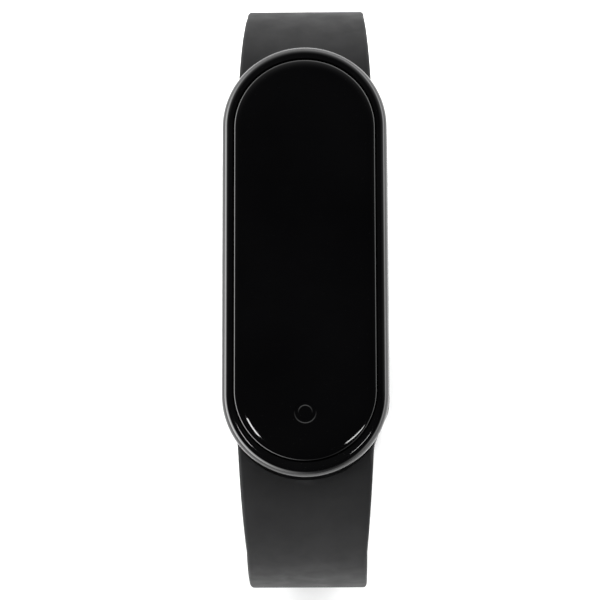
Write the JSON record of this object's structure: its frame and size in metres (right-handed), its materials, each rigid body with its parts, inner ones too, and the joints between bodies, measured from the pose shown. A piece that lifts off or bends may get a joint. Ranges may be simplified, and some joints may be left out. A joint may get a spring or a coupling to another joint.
{
  "type": "fitness tracker band",
  "caption": "Pill-shaped activity tracker capsule snapped into a black silicone wrist strap, buckled into a loop by a slotted end and a metal stud.",
  "frame": {"origin": "centre of the bounding box on the flat surface that the buckled clasp stands on", "axes": "+Z out of the display, +Y towards the display's upper end, +X to the wearer's right of the display"},
  "size_m": [0.0184, 0.0682, 0.0538],
  "materials": {
    "silicone": "matte",
    "steel": "satin",
    "gloss_shell": "gloss",
    "front_glass": "gloss",
    "sensor_lens": "gloss",
    "foam": "matte",
    "display": "gloss",
    "flex_circuit": "satin",
    "dark_plastic": "matte",
    "circuit_board": "satin",
    "brass_gold": "satin",
    "cell_pouch": "satin",
    "green_led": "gloss"
  },
  "bodies": {
    "strap": {"strap_cradle": "silicone", "strap_short_side": "silicone", "strap_loop_end": "silicone", "strap_long_side": "silicone", "strap_fold": "silicone"},
    "tail": {"strap_tail": "silicone", "clasp_stud": "steel", "stud_cap": "steel"},
    "capsule": {"housing": "gloss_shell", "front_glass": "front_glass", "glass_gasket": "foam", "display_panel": "display", "display_flex": "flex_circuit", "touch_pad": "flex_circuit", "mid_frame": "dark_plastic", "antenna": "brass_gold", "main_board": "circuit_board", "processor_shield": "steel", "memory_chip": "dark_plastic", "radio_chip": "dark_plastic", "motion_chip": "dark_plastic", "battery_pad": "foam", "battery": "cell_pouch", "battery_lead": "flex_circuit", "motor_case": "steel", "motor_base": "circuit_board", "motor_shaft": "steel", "rear_cover": "gloss_shell", "cover_seal": "foam", "sensor_window": "sensor_lens", "sensor_board": "circuit_board", "green_led_upper": "green_led", "green_led_lower": "green_led", "photodiode": "dark_plastic", "light_barrier": "foam", "charge_contact_left": "brass_gold", "charge_contact_right": "brass_gold", "contact_spring_left": "brass_gold", "contact_spring_right": "brass_gold"},
    "rotor": {"motor_rotor": "brass_gold"}
  },
  "joints": [
    {"name": "capsule_slide", "type": "slide", "parent": "strap", "child": "capsule", "axis": [0, 0, 1], "range_m": [0, 0.014]},
    {"name": "tail_peel", "type": "hinge", "parent": "strap", "child": "tail", "pos_m": [0, 0.02725, 0.00973], "axis": [-1, 0, 0], "range_deg": [0, 75]},
    {"name": "motor_spin", "type": "hinge", "parent": "capsule", "child": "rotor", "pos_m": [0, 0.01472, 0.04635], "axis": [0, 0, 1], "continuous": true}
  ]
}
